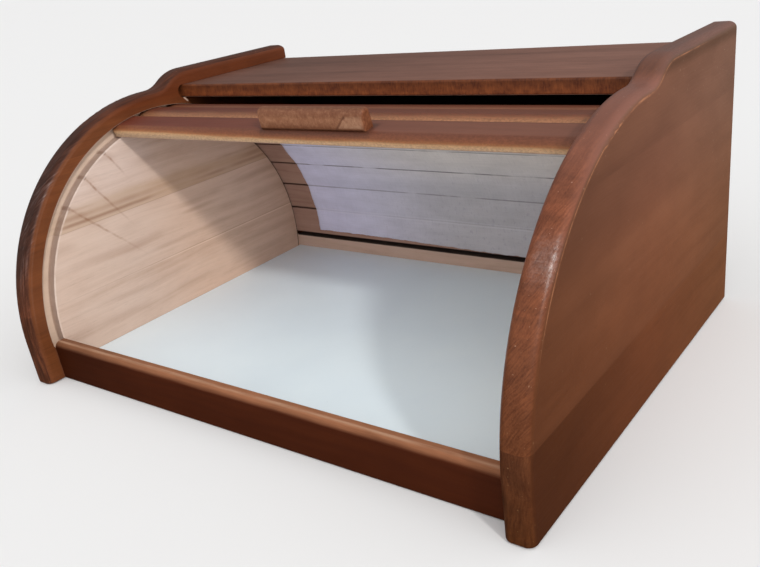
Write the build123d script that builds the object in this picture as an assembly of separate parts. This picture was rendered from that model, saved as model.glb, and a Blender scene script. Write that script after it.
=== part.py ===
# Wooden bread box with a tambour (roll top) door.
#
# Frame: millimetres, +Z up, origin on the standing surface at the centre of the
# footprint. The opening looks along -Y, +X is the right-hand side seen from the front.
#
# Two edge-glued side panels carry a housed shelf, two doweled rails, a grooved floor
# and a rebated back. The tambour is a row of flat slats on a cloth backing. Its ends
# run in a groove of constant radius in each side panel, so the whole door turns about
# one axis. It is drawn rolled open, with its trailing slat on the end of the groove.
from build123d import *
import math
import os

os.makedirs("parts", exist_ok=True)

# ---------------------------------------------------------------- driving dimensions
WIDTH = 390.0            # over the side panels
DEPTH = 290.0            # rim crown to back
HEIGHT = 183.5           # to the crown of the side galleries
T_SIDE = 16.0            # side panel thickness

AXIS_Y = -2.0            # track axis
AXIS_Z = 30.0
R_RIM = 143.0            # crown of the curved front edge
R_TRACK_OUT = 131.4      # groove walls
R_TRACK_IN = 122.7
TRACK_DEPTH = 7.0
TRACK_FRONT_DEG = -1.6   # angles are measured from the front, over the top
TRACK_REAR_DEG = 183.95

RIM_ROUND = 4.8          # round-over on the shaped edges
GALLERY_END_R = 4.2      # top corner at the back end of a gallery
OGEE_START = 2.5         # start of the ogee behind the track axis
OGEE_R1 = 24.0           # hollow
OGEE_R2 = 36.0           # crown

SHELF_TOP = 172.2
SHELF_T = 9.2
SHELF_FRONT = AXIS_Y + 29.4
SHELF_HOUSING = 6.0

FLOOR_TOP = 8.7
FLOOR_T = 3.0
FLOOR_IN = 4.7           # edge held in the grooves

FRONT_RAIL_FACE = AXIS_Y - 130.5
FRONT_RAIL_T = 9.0
FRONT_RAIL_H = 27.6
REAR_RAIL_FACE = AXIS_Y + 123.0
REAR_RAIL_H = 19.1
BACK_T = 3.0

SLAT_COUNT = 10
SLAT_T = 7.8
SLAT_R_IN = 123.1        # distance of the slats' inner faces from the axis
LEAD_EDGE_DEG = 72.6     # lower edge of the lead slat, rolled open
LEAD_PITCH_DEG = 11.5
SLAT_PITCH_DEG = 11.072
SLAT_GAP = 0.4
SLAT_END_PLAY = 0.8
SLAT_EDGE_W = 8.6        # crowned edges of a slat: width and drop
SLAT_EDGE_DROP = 4.6
LEAD_FRONT_W = 5.6       # fuller front edge of the lead slat, and its rear edge
LEAD_REAR_W = 7.4
CLOSE_TRAVEL_DEG = 73.2  # from rolled open to shut

CLOTH_HALF = 151.0
CLOTH_T = 0.6

HANDLE_L = 82.0
HANDLE_W = 9.4
HANDLE_H = 12.6
HANDLE_X = 5.0
HANDLE_U = 4.7           # towards the lead edge from the slat's middle

X_IN = WIDTH / 2 - T_SIDE
Y_FRONT = -DEPTH / 2
Y_BACK = DEPTH / 2


# ---------------------------------------------------------------- helpers
def P(y, z, x=0.0):
    return Vector(x, y, z)


def polar(r, deg, x=0.0):
    """Point at radius r from the track axis; 0 is the front, 90 the top, 180 the back."""
    a = math.radians(deg)
    return Vector(x, AXIS_Y - r * math.cos(a), AXIS_Z + r * math.sin(a))


def line(a, b):
    return Edge.make_line(a, b)


def arc3(a, b, c):
    return Edge.make_three_point_arc(a, b, c)


def prism(edges, dx):
    """Solid from a closed outline in a plane of constant X, pushed along X."""
    return Solid.extrude(Face(Wire(edges)), Vector(dx, 0, 0))


def block(x0, x1, y0, y1, z0, z1):
    return Pos((x0 + x1) / 2, (y0 + y1) / 2, (z0 + z1) / 2) * Box(x1 - x0, y1 - y0, z1 - z0)


def rod(a, b, r):
    a, b = Vector(*a), Vector(*b)
    return Solid.make_cylinder(r, (b - a).length, Plane(origin=a, z_dir=(b - a)))


def mirror_x(shape):
    return mirror(shape, about=Plane.YZ)


def save(shape, name):
    solids = shape.solids() if hasattr(shape, "solids") else shape
    export_step(solids[0] if len(solids) == 1 else Compound(children=list(solids)), f"parts/{name}.step")


# ---------------------------------------------------------------- side panels
def side_outline(x):
    """Closed outline of a side panel: straight foot, round front, ogee, gallery, back."""
    a0 = math.asin(OGEE_START / R_RIM)
    ya, za = AXIS_Y + OGEE_START, AXIS_Z + R_RIM * math.cos(a0)
    rise = HEIGHT - za
    cphi = (OGEE_R1 * math.cos(a0) + OGEE_R2 - rise) / (OGEE_R1 + OGEE_R2)
    phi = math.acos(cphi)
    c1 = (ya + OGEE_R1 * math.sin(a0), za + OGEE_R1 * math.cos(a0))

    def hollow(t):
        return P(c1[0] + OGEE_R1 * math.sin(t), c1[1] - OGEE_R1 * math.cos(t), x)

    e1 = hollow(phi)
    c2 = (e1.Y + OGEE_R2 * math.sin(phi), e1.Z - OGEE_R2 * math.cos(phi))

    def crown(t):
        return P(c2[0] - OGEE_R2 * math.sin(t), c2[1] + OGEE_R2 * math.cos(t), x)

    top_end = crown(0)
    start = P(Y_FRONT, AXIS_Z, x)
    on_rim = P(ya, za, x)
    return [
        line(P(Y_FRONT, 0, x), start),
        arc3(start, polar(R_RIM, 45, x), on_rim),
        arc3(on_rim, hollow((phi - a0) / 2), e1),
        arc3(e1, crown(phi / 2), top_end),
        line(top_end, P(Y_BACK, HEIGHT, x)),
        line(P(Y_BACK, HEIGHT, x), P(Y_BACK, 0, x)),
        line(P(Y_BACK, 0, x), P(Y_FRONT, 0, x)),
    ]


def side_panel():
    """Right-hand panel, its inner face at +X_IN."""
    body = prism(side_outline(X_IN), T_SIDE)
    shaped = []
    for e in body.edges():
        c = e.center()
        on_face = abs(c.X - X_IN) < 1e-3 or abs(c.X - WIDTH / 2) < 1e-3
        along_back = abs(c.Y - Y_BACK) < 1e-3
        along_foot = abs(c.Z) < 1e-3
        if on_face and not along_back and not along_foot:
            shaped.append(e)
    body = fillet(shaped, RIM_ROUND)
    # back end of the gallery is eased over, seen from the side
    yc, zc = Y_BACK - GALLERY_END_R, HEIGHT - GALLERY_END_R
    corner = block(X_IN - 1, WIDTH / 2 + 1, yc, Y_BACK + 1, zc, HEIGHT + 1)
    body = body - (corner - rod((X_IN - 2, yc, zc), (WIDTH / 2 + 2, yc, zc), GALLERY_END_R))
    body = body.solids()[0]
    foot = [e for e in body.edges()
            if abs(e.center().Z) < 1e-3 and e.center().Y < Y_FRONT + 6]
    try:
        body = fillet(foot, 1.4)
    except Exception as err:
        print("foot left square:", err)

    # track groove, blind, rounded at both ends
    x0 = X_IN - 1
    r_mid = (R_TRACK_OUT + R_TRACK_IN) / 2
    r_end = (R_TRACK_OUT - R_TRACK_IN) / 2
    f, b = TRACK_FRONT_DEG, TRACK_REAR_DEG
    d_end = math.degrees(r_end / r_mid)
    groove = prism(
        [
            arc3(polar(R_TRACK_OUT, f, x0), polar(R_TRACK_OUT, (f + b) / 2, x0), polar(R_TRACK_OUT, b, x0)),
            arc3(polar(R_TRACK_OUT, b, x0), polar(r_mid, b + d_end, x0), polar(R_TRACK_IN, b, x0)),
            arc3(polar(R_TRACK_IN, b, x0), polar(R_TRACK_IN, (f + b) / 2, x0), polar(R_TRACK_IN, f, x0)),
            arc3(polar(R_TRACK_IN, f, x0), polar(r_mid, f - d_end, x0), polar(R_TRACK_OUT, f, x0)),
        ],
        TRACK_DEPTH + 1,
    )
    body = body - groove

    # housing of the shelf, round-nosed at the front, open at the back
    z_mid = SHELF_TOP - SHELF_T / 2
    r = SHELF_T / 2 + 0.1
    y0 = SHELF_FRONT
    housing = prism(
        [
            line(P(y0, z_mid + r, x0), P(Y_BACK + 1, z_mid + r, x0)),
            line(P(Y_BACK + 1, z_mid + r, x0), P(Y_BACK + 1, z_mid - r, x0)),
            line(P(Y_BACK + 1, z_mid - r, x0), P(y0, z_mid - r, x0)),
            arc3(P(y0, z_mid - r, x0), P(y0 - r, z_mid, x0), P(y0, z_mid + r, x0)),
        ],
        SHELF_HOUSING + 1,
    )
    body = body - housing

    # groove of the floor and rebate of the back
    body = body - block(x0, X_IN + FLOOR_IN + 0.3, FRONT_RAIL_FACE + FRONT_RAIL_T - FLOOR_IN - 0.3, REAR_RAIL_FACE + 6,
                        FLOOR_TOP - FLOOR_T - 0.1, FLOOR_TOP + 0.1)
    body = body - block(x0, X_IN + 6.2, Y_BACK - BACK_T - 0.1, Y_BACK + 1, -1, SHELF_TOP - SHELF_T + 0.05)
    # dowel sockets and nail holes
    for y, z in FRONT_DOWELS:
        body = body - rod((x0, y, z), (X_IN + 9.4, y, z), DOWEL_R + 0.02)
    for y, z in REAR_DOWELS:
        body = body - rod((x0, y, z), (X_IN + 9.4, y, z), DOWEL_R + 0.02)
    for z in SIDE_NAILS:
        body = body - rod((NAIL_X, Y_BACK - BACK_T + 1, z), (NAIL_X, Y_BACK - NAIL_L - 0.2, z), NAIL_R + 0.02)
    return body


DOWEL_R = 2.5
FRONT_DOWELS = [(FRONT_RAIL_FACE + 4.4, 12.2), (FRONT_RAIL_FACE + 4.4, 18.6)]
REAR_DOWELS = [(REAR_RAIL_FACE + 13.0, 5.4), (REAR_RAIL_FACE + 13.0, 13.2)]
NAIL_R = 0.7
NAIL_HEAD_R = 1.6
NAIL_L = 15.0
NAIL_X = X_IN + 3.2
SIDE_NAILS = [30.0, 72.0, 114.0, 152.0]
RAIL_NAILS = [-140.0, -70.0, 0.0, 70.0, 140.0]

right = side_panel().solids()[0]
left = mirror_x(right).solids()[0]
save(right, "right_side_panel")
save(left, "left_side_panel")

# ---------------------------------------------------------------- shelf
shelf_half = X_IN + SHELF_HOUSING - 0.2
zs0 = SHELF_TOP - SHELF_T
shelf = block(-shelf_half, shelf_half, SHELF_FRONT, Y_BACK - 0.2, zs0, SHELF_TOP)
shelf = fillet([e for e in shelf.edges()
                if abs(e.center().Y - SHELF_FRONT) < 1e-3 and abs(e.center().X) < 1 and e.center().Z > zs0 + 1], 1.3)
shelf = fillet([e for e in shelf.edges()
                if abs(e.center().Y - SHELF_FRONT) < 1e-3 and abs(e.center().X) < 1 and abs(e.center().Z - zs0) < 1e-3], 1.2)
shelf = fillet([e for e in shelf.edges()
                if abs(e.center().Y - (Y_BACK - 0.2)) < 1e-3 and abs(e.center().X) < 1
                and abs(e.center().Z - SHELF_TOP) < 1e-3], 1.0)
shelf = shelf - block(-shelf_half - 1, shelf_half + 1, Y_BACK - BACK_T - 0.1, Y_BACK + 1, zs0 - 1, zs0 + 4.1)
for x in RAIL_NAILS:
    shelf = shelf - rod((x, Y_BACK - BACK_T, zs0 + 2.2), (x, Y_BACK - NAIL_L - 0.2, zs0 + 2.2), NAIL_R + 0.02)
save(shelf, "top_shelf")

# ---------------------------------------------------------------- rails
fr = block(-X_IN, X_IN, FRONT_RAIL_FACE, FRONT_RAIL_FACE + FRONT_RAIL_T, 0, FRONT_RAIL_H)
fr = fillet([e for e in fr.edges()
             if abs(e.center().Z - FRONT_RAIL_H) < 1e-3 and abs(e.center().Y - FRONT_RAIL_FACE) < 1e-3], 4.4)
fr = fillet([e for e in fr.edges()
             if abs(e.center().Z - FRONT_RAIL_H) < 1e-3
             and abs(e.center().Y - FRONT_RAIL_FACE - FRONT_RAIL_T) < 1e-3], 1.6)
fr = fillet([e for e in fr.edges()
             if abs(e.center().Z) < 1e-3 and abs(e.center().Y - FRONT_RAIL_FACE) < 1e-3], 1.0)
fr = fr - block(-X_IN - 1, X_IN + 1, FRONT_RAIL_FACE + FRONT_RAIL_T - FLOOR_IN - 0.3,
                FRONT_RAIL_FACE + FRONT_RAIL_T + 1, FLOOR_TOP - FLOOR_T - 0.1, FLOOR_TOP + 0.1)
for y, z in FRONT_DOWELS:
    for s in (-1, 1):
        fr = fr - rod((s * (X_IN + 1), y, z), (s * (X_IN - 14.4), y, z), DOWEL_R + 0.02)
save(fr, "front_rail")

rr_back = Y_BACK - BACK_T - 0.1
rr = block(-X_IN, X_IN, REAR_RAIL_FACE, rr_back, 0, REAR_RAIL_H)
rr = fillet([e for e in rr.edges()
             if abs(e.center().Z - REAR_RAIL_H) < 1e-3 and abs(e.center().Y - REAR_RAIL_FACE) < 1e-3], 0.8)
rr = rr - block(-X_IN - 1, X_IN + 1, REAR_RAIL_FACE - 1, REAR_RAIL_FACE + FLOOR_IN + 0.3,
                FLOOR_TOP - FLOOR_T - 0.1, FLOOR_TOP + 0.1)
for y, z in REAR_DOWELS:
    for s in (-1, 1):
        rr = rr - rod((s * (X_IN + 1), y, z), (s * (X_IN - 14.4), y, z), DOWEL_R + 0.02)
for x in RAIL_NAILS:
    rr = rr - rod((x, rr_back + 1, 9.6), (x, Y_BACK - NAIL_L - 0.2, 9.6), NAIL_R + 0.02)
save(rr, "rear_rail")


def dowels(spots):
    pins = []
    for y, z in spots:
        for s in (-1, 1):
            d = rod((s * (X_IN - 14), y, z), (s * (X_IN + 9), y, z), DOWEL_R)
            pins.append(chamfer(d.edges().filter_by(GeomType.CIRCLE), 0.5).solids()[0])
    return Compound(children=pins)


save(dowels(FRONT_DOWELS), "front_rail_dowels")
save(dowels(REAR_DOWELS), "rear_rail_dowels")

# ---------------------------------------------------------------- floor and back
fy0 = FRONT_RAIL_FACE + FRONT_RAIL_T - FLOOR_IN
fy1 = REAR_RAIL_FACE + FLOOR_IN
floor = block(-(X_IN + FLOOR_IN), X_IN + FLOOR_IN, fy0, fy1, FLOOR_TOP - FLOOR_T, FLOOR_TOP)
save(floor, "floor_panel")

back_half = X_IN + 5.9
back_top = SHELF_TOP - SHELF_T - 0.1
back = block(-back_half, back_half, Y_BACK - BACK_T, Y_BACK, 0.6, back_top)
# tongue of the back in the rebate of the shelf
back = back + block(-(X_IN - 0.3), X_IN - 0.3, Y_BACK - BACK_T, Y_BACK, back_top - 1, back_top + 3.9)
nail_spots = [(s * NAIL_X, z) for s in (-1, 1) for z in SIDE_NAILS]
nail_spots += [(x, 9.6) for x in RAIL_NAILS] + [(x, zs0 + 2.2) for x in RAIL_NAILS]
nails = []
for x, z in nail_spots:
    back = back - rod((x, Y_BACK + 1, z), (x, Y_BACK - BACK_T - 1, z), NAIL_R + 0.02)
    back = back - rod((x, Y_BACK + 1, z), (x, Y_BACK - 0.75, z), NAIL_HEAD_R + 0.05)
    shank = rod((x, Y_BACK - 0.4, z), (x, Y_BACK - NAIL_L, z), NAIL_R)
    head = rod((x, Y_BACK - 0.05, z), (x, Y_BACK - 0.7, z), NAIL_HEAD_R)
    nails.append((shank + head).solids()[0])
save(back, "back_panel")
save(Compound(children=nails), "back_nails")


# ---------------------------------------------------------------- tambour
def slat_frame(mid_deg):
    """Plane at the middle of a slat's inner face: local x towards the lead edge, local y outwards, normal +X."""
    a = math.radians(mid_deg)
    u = Vector(0, -math.sin(a), -math.cos(a))
    return polar(SLAT_R_IN, mid_deg), u, Vector(0, -math.cos(a), math.sin(a))


def slat(mid_deg, width, corner, front_w, rear_w):
    o, u, v = slat_frame(mid_deg)
    h = width / 2

    def at(a, b, x):
        return o + u * a + v * b + Vector(x, 0, 0)

    half = X_IN + TRACK_DEPTH - SLAT_END_PLAY
    x0 = -half
    drop = SLAT_T - SLAT_EDGE_DROP

    def crown(w):
        """Start of the flat and middle of the arc for a crowned edge of width w."""
        rho = (w**2 + SLAT_EDGE_DROP**2) / (2 * SLAT_EDGE_DROP)
        am = 0.5 * math.asin(w / rho)
        return h - w, h - w + rho * math.sin(am), SLAT_T - rho * (1 - math.cos(am))

    ff, fu, fv = crown(front_w)
    rf, ru, rv = crown(rear_w)
    c = 0.4
    body = prism(
        [
            line(at(-h + c, 0, x0), at(h - c, 0, x0)),
            line(at(h - c, 0, x0), at(h, c, x0)),
            line(at(h, c, x0), at(h, drop, x0)),
            arc3(at(h, drop, x0), at(fu, fv, x0), at(ff, SLAT_T, x0)),
            line(at(ff, SLAT_T, x0), at(-rf, SLAT_T, x0)),
            arc3(at(-rf, SLAT_T, x0), at(-ru, rv, x0), at(-h, drop, x0)),
            line(at(-h, drop, x0), at(-h, c, x0)),
            line(at(-h, c, x0), at(-h + c, 0, x0)),
        ],
        2 * half,
    )
    # ends rounded in plan, so that they run freely in the grooves
    pl = Plane(origin=o - v * 1.0, x_dir=(1, 0, 0), z_dir=v)
    plan = pl * RectangleRounded(2 * half, width, corner)
    return (body & extrude(plan, SLAT_T + 2)).solids()[0]


edges_deg = [LEAD_EDGE_DEG, LEAD_EDGE_DEG + LEAD_PITCH_DEG]
for _ in range(SLAT_COUNT - 1):
    edges_deg.append(edges_deg[-1] + SLAT_PITCH_DEG)

SCREW_X = [HANDLE_X - 26.0, HANDLE_X + 26.0]
SCREW_R = 1.5
SCREW_HEAD_R = 3.0
SCREW_LEN = 15.0


def in_lead(u_, v_, x):
    o, u, v = slat_frame(LEAD_EDGE_DEG + LEAD_PITCH_DEG / 2)
    return o + u * u_ + v * v_ + Vector(x, 0, 0)


def screw(x, grow=0.0, length=SCREW_LEN):
    """Countersunk wood screw driven outwards from the lead slat's inner face."""
    _, _, v = slat_frame(LEAD_EDGE_DEG + LEAD_PITCH_DEG / 2)
    foot = in_lead(HANDLE_U, 0.3, x)
    head = Solid.make_cone(SCREW_HEAD_R + grow, SCREW_R + grow, 1.9, Plane(origin=foot, z_dir=v))
    shank = Solid.make_cylinder(SCREW_R + grow, length, Plane(origin=foot, z_dir=v))
    return head + shank


mids = []
for i in range(SLAT_COUNT):
    mid = (edges_deg[i] + edges_deg[i + 1]) / 2
    span = edges_deg[i + 1] - edges_deg[i]
    width = 2 * SLAT_R_IN * math.tan(math.radians(span / 2)) - SLAT_GAP
    mids.append((mid, span))
    s = slat(mid, width, 4.0, LEAD_FRONT_W, LEAD_REAR_W) if i == 0 else slat(mid, width, 1.6, SLAT_EDGE_W, SLAT_EDGE_W)
    if i == 0:
        for x in SCREW_X:
            s = s - screw(x, 0.03)
            # countersink runs out to the inner face
            s = s - Solid.make_cylinder(SCREW_HEAD_R + 0.03, 0.32,
                                        Plane(origin=in_lead(HANDLE_U, -0.01, x), z_dir=slat_frame(mid)[2]))
        s = s.solids()[0]
        print("lead slat width", round(width, 2))
    save(s, f"slat_{i + 1:02d}" if i else "slat_01_lead")
print("slat width", round(width, 2), "edges", [round(e, 2) for e in edges_deg])

# ---------------------------------------------------------------- cloth backing
# follows the slats' flat inner faces, from the lead slat to just short of the last edge
c_out, c_in = SLAT_R_IN - 0.02, SLAT_R_IN - 0.02 - CLOTH_T


def facet(r, i):
    """Corner between the inner faces of slat i and slat i+1 at apothem r."""
    (ma, sa), (mb, sb) = mids[i], mids[i + 1]
    a, b = math.radians(ma), math.radians(mb)
    # intersection of the two tangent lines at apothem r
    mid = (a + b) / 2
    return polar(r / math.cos((b - a) / 2), math.degrees(mid), -CLOTH_HALF)


def on_face(r, i, u_):
    m = math.radians(mids[i][0])
    u = Vector(0, -math.sin(m), -math.cos(m))
    return polar(r, mids[i][0], -CLOTH_HALF) + u * u_


lead_u, tail_u = 6.8, -(width / 2 - 1.6)
outer = [on_face(c_out, 0, lead_u)] + [facet(c_out, i) for i in range(SLAT_COUNT - 1)] + [on_face(c_out, SLAT_COUNT - 1, tail_u)]
inner = [on_face(c_in, 0, lead_u)] + [facet(c_in, i) for i in range(SLAT_COUNT - 1)] + [on_face(c_in, SLAT_COUNT - 1, tail_u)]
loop = outer + inner[::-1]
cloth = prism([line(loop[i], loop[(i + 1) % len(loop)]) for i in range(len(loop))], 2 * CLOTH_HALF)
save(cloth, "tambour_cloth")
print("cloth length", round(sum((outer[i + 1] - outer[i]).length for i in range(len(outer) - 1)), 1))

# ---------------------------------------------------------------- handle and its screws
o, u, v = slat_frame(mids[0][0])


def hp(a, b, x):
    return o + u * (HANDLE_U + a) + v * (SLAT_T + b) + Vector(x, 0, 0)


x0 = HANDLE_X - HANDLE_L / 2
hw = HANDLE_W / 2
grip = prism(
    [
        line(hp(-hw, 0.02, x0), hp(hw - 0.8, 0.02, x0)),
        line(hp(hw - 0.8, 0.02, x0), hp(hw, 1.2, x0)),
        line(hp(hw, 1.2, x0), hp(hw - 0.4, HANDLE_H, x0)),
        line(hp(hw - 0.4, HANDLE_H, x0), hp(-hw + 0.6, HANDLE_H, x0)),
        line(hp(-hw + 0.6, HANDLE_H, x0), hp(-hw, 0.02, x0)),
    ],
    HANDLE_L,
)
long_top = [e for e in grip.edges()
            if abs(e.length - HANDLE_L) < 1e-3 and (e.center() - hp(0, HANDLE_H, HANDLE_X)).length < hw + 0.5]
grip = fillet(long_top, 3.6)
ends = []
for f in grip.faces():
    if abs(abs(f.normal_at(f.center()).X) - 1) < 1e-6:
        ends += [e for e in f.edges() if (e.center() - hp(0, 0, e.center().X)).dot(v) > 0.9]
grip = fillet(ends, 2.2)
for x in SCREW_X:
    grip = grip - screw(x, 0.03, SCREW_LEN + 0.3)
save(grip, "handle")
save(Compound(children=[screw(x).solids()[0] for x in SCREW_X]), "handle_screws")
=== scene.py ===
import math

import bpy
from mathutils import Matrix, Vector, noise


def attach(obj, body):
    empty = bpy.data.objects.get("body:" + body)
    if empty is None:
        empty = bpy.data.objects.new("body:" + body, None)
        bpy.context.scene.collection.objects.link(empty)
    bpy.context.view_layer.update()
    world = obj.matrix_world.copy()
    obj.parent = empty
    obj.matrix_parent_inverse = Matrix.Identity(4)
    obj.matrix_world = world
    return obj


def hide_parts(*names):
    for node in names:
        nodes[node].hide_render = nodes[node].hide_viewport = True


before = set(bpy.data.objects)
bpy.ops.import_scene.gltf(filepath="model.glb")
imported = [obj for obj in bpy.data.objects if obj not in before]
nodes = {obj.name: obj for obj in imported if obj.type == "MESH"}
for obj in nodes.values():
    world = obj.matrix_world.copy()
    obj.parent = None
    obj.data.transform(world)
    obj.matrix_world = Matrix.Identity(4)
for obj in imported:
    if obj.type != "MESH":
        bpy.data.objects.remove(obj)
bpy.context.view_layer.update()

# ------------------------------------------------------------------ geometry shared with the frame (mm)
AXIS_Y, AXIS_Z = -2.0, 30.0
X_IN = 179.0
R_TRACK_IN, R_TRACK_OUT, R_RIM = 122.7, 131.4, 143.0
SLAT_R_IN, SLAT_T = 123.1, 7.8
LEAD_EDGE, LEAD_PITCH, PITCH, COUNT = 72.6, 11.5, 11.072, 10


def srgb(r, g, b, k=1.0):
    def lin(c):
        c = c / 255.0
        return c / 12.92 if c <= 0.04045 else ((c + 0.055) / 1.055) ** 2.4
    return (lin(r) * k, lin(g) * k, lin(b) * k, 1.0)


# ------------------------------------------------------------------ node helper
class Shader:
    """A principled material on object coordinates, in millimetres."""

    def __init__(self, name, rough=0.5, spec=0.5, coat=0.0, coat_rough=0.2, sheen=0.0):
        self.mat = bpy.data.materials.new(name)
        self.mat.use_nodes = True
        self.nt = self.mat.node_tree
        self.nt.nodes.clear()
        out = self.new("ShaderNodeOutputMaterial")
        self.bsdf = self.new("ShaderNodeBsdfPrincipled")
        self.nt.links.new(self.bsdf.outputs[0], out.inputs[0])
        self.bsdf.inputs["Roughness"].default_value = rough
        self.bsdf.inputs["Specular IOR Level"].default_value = spec
        self.bsdf.inputs["Coat Weight"].default_value = coat
        self.bsdf.inputs["Coat Roughness"].default_value = coat_rough
        self.bsdf.inputs["Sheen Weight"].default_value = sheen
        tc = self.new("ShaderNodeTexCoord")
        sc = self.new("ShaderNodeVectorMath")
        sc.operation = "SCALE"
        sc.inputs["Scale"].default_value = 1000.0
        self.nt.links.new(tc.outputs["Object"], sc.inputs[0])
        self.p = sc.outputs[0]
        self.x, self.y, self.z = self.split(self.p)
        self.nx, self.ny, self.nz = self.split(tc.outputs["Normal"])

    def new(self, kind):
        return self.nt.nodes.new(kind)

    def put(self, sock, v):
        if isinstance(v, bpy.types.NodeSocket):
            self.nt.links.new(v, sock)
        else:
            sock.default_value = v

    def split(self, v):
        s = self.new("ShaderNodeSeparateXYZ")
        self.put(s.inputs[0], v)
        return s.outputs[0], s.outputs[1], s.outputs[2]

    def vec(self, x, y, z):
        c = self.new("ShaderNodeCombineXYZ")
        for i, v in enumerate((x, y, z)):
            self.put(c.inputs[i], v)
        return c.outputs[0]

    def m(self, op, a, b=None, c=None, clamp=False):
        n = self.new("ShaderNodeMath")
        n.operation = op
        n.use_clamp = clamp
        for i, v in enumerate((a, b, c)):
            if v is not None:
                self.put(n.inputs[i], v)
        return n.outputs[0]

    def add(self, a, b):
        return self.m("ADD", a, b)

    def sub(self, a, b):
        return self.m("SUBTRACT", a, b)

    def mul(self, a, b):
        return self.m("MULTIPLY", a, b)

    def mad(self, a, b, c):
        return self.m("MULTIPLY_ADD", a, b, c)

    def inv(self, a):
        return self.m("SUBTRACT", 1.0, a)

    def smooth(self, v, lo, hi):
        """0 below lo, 1 above hi; reversed if lo is above hi."""
        n = self.new("ShaderNodeMapRange")
        n.interpolation_type = "SMOOTHSTEP"
        n.clamp = True
        flip = lo > hi
        self.put(n.inputs[0], v)
        n.inputs[1].default_value = hi if flip else lo
        n.inputs[2].default_value = lo if flip else hi
        n.inputs[3].default_value = 1.0 if flip else 0.0
        n.inputs[4].default_value = 0.0 if flip else 1.0
        return n.outputs[0]

    def remap(self, v, a, b, lo, hi):
        n = self.new("ShaderNodeMapRange")
        n.clamp = True
        self.put(n.inputs[0], v)
        for i, q in enumerate((a, b, lo, hi)):
            n.inputs[i + 1].default_value = q
        return n.outputs[0]

    def band(self, v, lo, hi, soft):
        return self.mul(self.smooth(v, lo - soft, lo + soft), self.smooth(v, hi + soft, hi - soft))

    def noise(self, v, scale=1.0, detail=2.0, rough=0.5, dist=0.0):
        n = self.new("ShaderNodeTexNoise")
        self.put(n.inputs["Vector"], v)
        n.inputs["Scale"].default_value = scale
        n.inputs["Detail"].default_value = detail
        n.inputs["Roughness"].default_value = rough
        n.inputs["Distortion"].default_value = dist
        return n.outputs[0]

    def mix(self, fac, a, b, blend="MIX"):
        n = self.new("ShaderNodeMix")
        n.data_type = "RGBA"
        n.blend_type = blend
        n.clamp_factor = True
        self.put(n.inputs[0], fac)
        self.put(n.inputs[6], a)
        self.put(n.inputs[7], b)
        return n.outputs[2]

    def scale_col(self, col, k):
        """colour times a scalar socket"""
        n = self.new("ShaderNodeVectorMath")
        n.operation = "SCALE"
        self.put(n.inputs[0], col)
        self.put(n.inputs["Scale"], k)
        return n.outputs[0]

    def ramp(self, fac, stops, interp="LINEAR"):
        n = self.new("ShaderNodeValToRGB")
        n.color_ramp.interpolation = interp
        el = n.color_ramp.elements
        while len(el) > 1:
            el.remove(el[-1])
        el[0].position, el[0].color = stops[0]
        for pos, col in stops[1:]:
            e = el.new(pos)
            e.color = col
        self.put(n.inputs[0], fac)
        return n.outputs[0]

    def finish(self, color, rough=None, height=None, strength=0.3, distance=0.0002):
        self.put(self.bsdf.inputs["Base Color"], color)
        if rough is not None:
            self.put(self.bsdf.inputs["Roughness"], rough)
        if height is not None:
            b = self.new("ShaderNodeBump")
            b.inputs["Strength"].default_value = strength
            b.inputs["Distance"].default_value = distance
            self.put(b.inputs["Height"], height)
            self.nt.links.new(b.outputs[0], self.bsdf.inputs["Normal"])
        return self.mat


# ------------------------------------------------------------------ wood
def grain(S, g, a, b, seed=0.0):
    """Grain fields for wood running along g, with a and b across it (all mm)."""
    off = seed * 37.13
    warp = S.noise(S.vec(S.mad(g, 1 / 170, off), S.mul(a, 1 / 45), S.mul(b, 1 / 45)), 1, 2)
    a2 = S.mad(S.sub(warp, 0.5), 14.0, a)
    broad = S.noise(S.vec(S.mad(g, 1 / 260, off), S.mul(a2, 1 / 16), S.mul(b, 1 / 16)), 1, 3)
    streak = S.noise(S.vec(S.mad(g, 1 / 150, off + 5.0), S.mul(a2, 1 / 3.4), S.mul(b, 1 / 3.4)), 1, 4, 0.6)
    fine = S.noise(S.vec(S.mad(g, 1 / 22, off + 9.0), S.mul(a2, 1 / 0.7), S.mul(b, 1 / 0.7)), 1, 2, 0.6)
    pore = S.smooth(S.noise(S.vec(S.mad(g, 1 / 6.0, off), S.mul(a2, 1 / 0.36), S.mul(b, 1 / 0.36)), 1, 1), 0.62, 0.74)
    cloud = S.noise(S.vec(S.mad(g, 1 / 34, off + 3.0), S.mul(a, 1 / 15), S.mul(b, 1 / 15)), 1, 5, 0.6)
    return {"broad": broad, "streak": streak, "fine": fine, "pore": pore, "cloud": cloud}


def polar(S):
    """Distance from the track axis and angle from the front, in degrees; straight down below the axis at the front."""
    dy = S.sub(S.y, AXIS_Y)
    dz = S.sub(S.z, AXIS_Z)
    r = S.m("SQRT", S.add(S.mul(dy, dy), S.mul(dz, dz)))
    th = S.mul(S.m("ARCTAN2", dz, S.mul(dy, -1.0)), 180 / math.pi)
    low = S.m("LESS_THAN", dz, 0.0)
    front = S.m("LESS_THAN", dy, 0.0)
    straight = S.mul(low, front)
    r2 = S.add(S.mul(straight, S.m("ABSOLUTE", dy)), S.mul(S.inv(straight), r))
    # behind the axis and below it the angle passes 180
    th2 = S.add(th, S.mul(S.mul(low, S.inv(front)), 360.0))
    return r2, th2


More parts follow.
